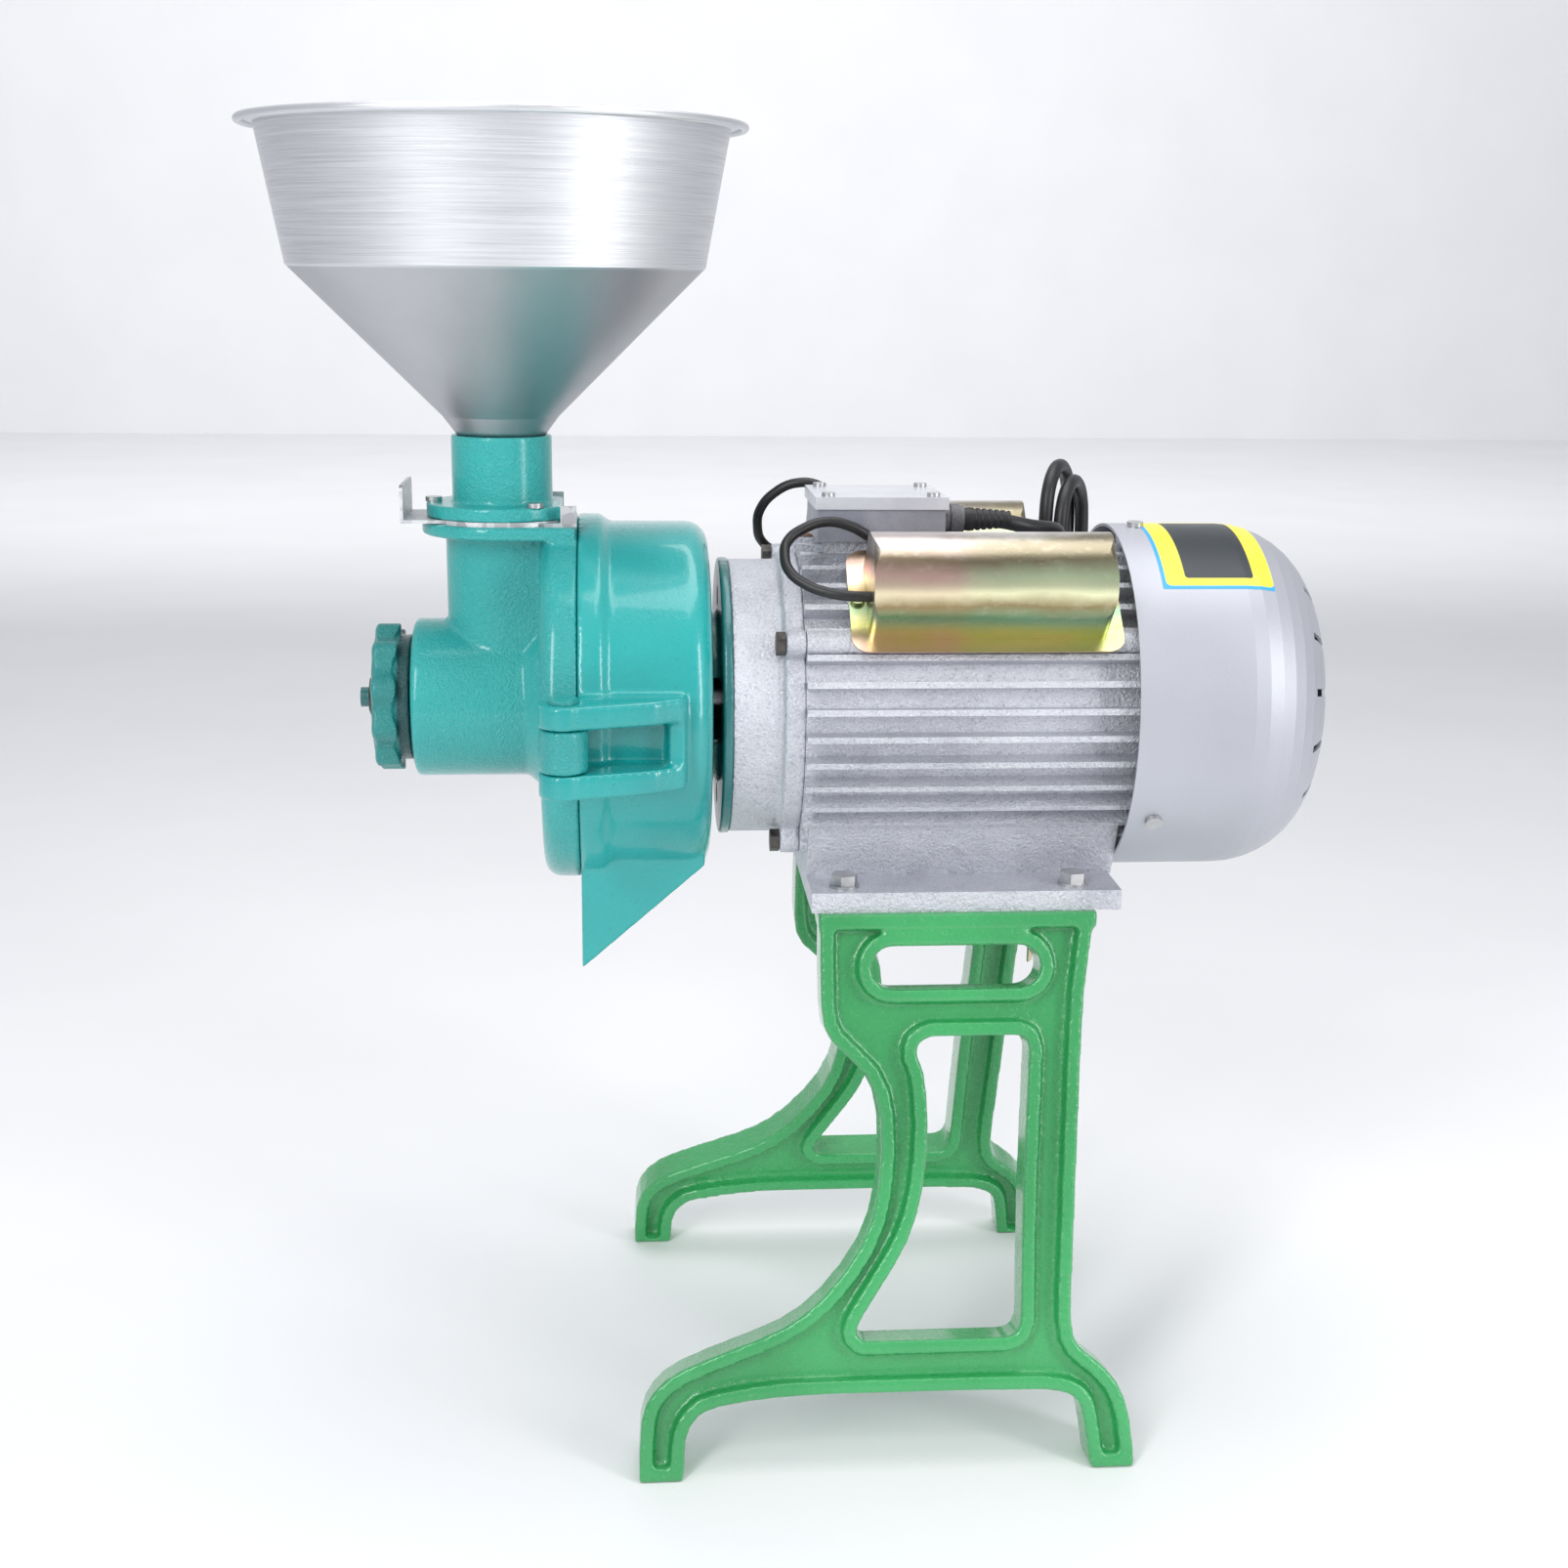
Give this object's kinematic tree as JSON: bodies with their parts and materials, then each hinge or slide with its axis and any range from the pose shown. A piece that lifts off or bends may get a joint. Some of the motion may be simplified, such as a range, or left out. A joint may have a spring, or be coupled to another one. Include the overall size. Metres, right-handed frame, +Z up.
{
  "type": "peanut butter machine",
  "caption": "Motor-driven disc mill for nut butter on a cast stand, with a sheet metal hopper, slide gate, hinged grinding chamber, adjusting handwheel and capacitor motor.",
  "frame": {"origin": "on the floor under the middle of the machine's footprint", "axes": "+X along the shaft from the handwheel to the motor, +Y away from the side with the door hinge, +Z up"},
  "size_m": [0.5814, 0.309, 0.7019],
  "materials": {
    "leg_green": "hammered enamel on cast iron",
    "motor_paint": "silver grey paint on ribbed cast aluminium",
    "fan_cover_paint": "smooth silver paint on pressed sheet",
    "teal_enamel": "glossy enamel on cast iron",
    "dark_teal": "darker enamel on cast iron",
    "spun_aluminium": "brushed round by spinning",
    "yellow_zinc": "yellow passivated zinc, iridescent",
    "galvanised": "dull zinc with streaks",
    "bright_steel": "zinc plated and turned steel",
    "ground_steel": "hardened and ground",
    "grinding_iron": "rough cast with ground tooth tops",
    "black_cable": "dull black sheath",
    "black_plastic": "fine moulded grain",
    "gland_grey": "moulded nylon",
    "copper_winding": "varnished copper wire",
    "lamination": "stacked sheets",
    "can_aluminium": "drawn can"
  },
  "bodies": {
    "base": {"stand_leg_near": "leg_green", "stand_leg_far": "leg_green", "foot_bolts": "bright_steel", "foot_nuts": "bright_steel", "motor_frame": "motor_paint", "front_end_shield": "motor_paint", "rear_end_shield": "motor_paint", "shield_bolts": "bright_steel", "stator_core": "lamination", "stator_winding": "copper_winding", "bearings": "ground_steel", "fan_cover": "fan_cover_paint", "fan_cover_screws": "bright_steel", "junction_box": "motor_paint", "junction_box_lid": "motor_paint", "lid_screws": "bright_steel", "cord_gland": "gland_grey", "capacitor_cover_near": "yellow_zinc", "capacitor_cover_far": "yellow_zinc", "capacitors": "can_aluminium", "capacitor_screws": "yellow_zinc", "capacitor_lead_near": "black_cable", "capacitor_lead_far": "black_cable", "adapter_neck": "dark_teal", "adapter_screws": "bright_steel", "drum_screws": "bright_steel", "drum_body": "teal_enamel", "shaft_seal": "gland_grey", "hinge_pin": "teal_enamel", "power_cord": "black_cable", "cord_hank": "black_cable", "hank_tie": "black_plastic", "power_plug": "black_plastic"},
    "rotor": {"motor_shaft": "bright_steel", "rotor_core": "lamination", "cooling_fan": "black_plastic", "spring_collar": "bright_steel", "shaft_key": "bright_steel", "thrust_spring": "bright_steel"},
    "disc_set": {"disc_carrier": "grinding_iron", "moving_disc": "grinding_iron", "disc_screws": "bright_steel", "feed_auger": "grinding_iron"},
    "door": {"front_cover": "teal_enamel", "fixed_disc": "grinding_iron", "fixed_disc_screws": "bright_steel", "gate_rails": "galvanised", "feed_tube": "teal_enamel", "flange_screws": "bright_steel"},
    "gate": {"slide_gate": "galvanised"},
    "funnel": {"hopper": "spun_aluminium"},
    "thrust": {"thrust_ball": "ground_steel"},
    "wheel": {"handwheel": "dark_teal", "thrust_screw": "bright_steel", "wheel_nut": "bright_steel"},
    "clamp_slide": {"clamp_washer": "bright_steel"},
    "clamp_knob": {"clamp_screw": "dark_teal"}
  },
  "joints": [
    {"name": "rotor_spin", "type": "hinge", "parent": "base", "child": "rotor", "pos_m": [0, 0, 0.3965], "axis": [1, 0, 0], "continuous": true},
    {"name": "disc_slide", "type": "slide", "parent": "rotor", "child": "disc_set", "axis": [-1, 0, 0], "range_m": [0, 0.003], "deforming": ["thrust_spring"]},
    {"name": "door_swing", "type": "hinge", "parent": "base", "child": "door", "pos_m": [-0.12425, -0.117, 0.3925], "axis": [0, 0, 1], "range_deg": [0, 115]},
    {"name": "gate_slide", "type": "slide", "parent": "door", "child": "gate", "axis": [-1, 0, 0], "range_m": [0, 0.05]},
    {"name": "hopper_lift", "type": "slide", "parent": "door", "child": "funnel", "axis": [0, 0, 1], "range_m": [0, 0.06]},
    {"name": "thrust_travel", "type": "slide", "parent": "door", "child": "thrust", "axis": [-1, 0, 0], "range_m": [0, 0.003]},
    {"name": "wheel_turn", "type": "hinge", "parent": "thrust", "child": "wheel", "pos_m": [-0.21725, 0, 0.3965], "axis": [-1, 0, 0], "range_deg": [0, 360]},
    {"name": "clamp_travel", "type": "slide", "parent": "door", "child": "clamp_slide", "axis": [-1, 0, 0], "range_m": [0, 0.013]},
    {"name": "clamp_turn", "type": "hinge", "parent": "clamp_slide", "child": "clamp_knob", "pos_m": [-0.13725, 0.112, 0.3965], "axis": [-1, 0, 0], "range_deg": [0, 2670]}
  ],
  "couplings": [
    {"joint": "wheel_turn", "follows": "thrust_travel", "rad_per_m": 2094.4},
    {"joint": "disc_slide", "follows": "thrust_travel", "ratio": 1},
    {"joint": "clamp_travel", "follows": "clamp_turn", "m_per_rad": 0.00027852}
  ]
}
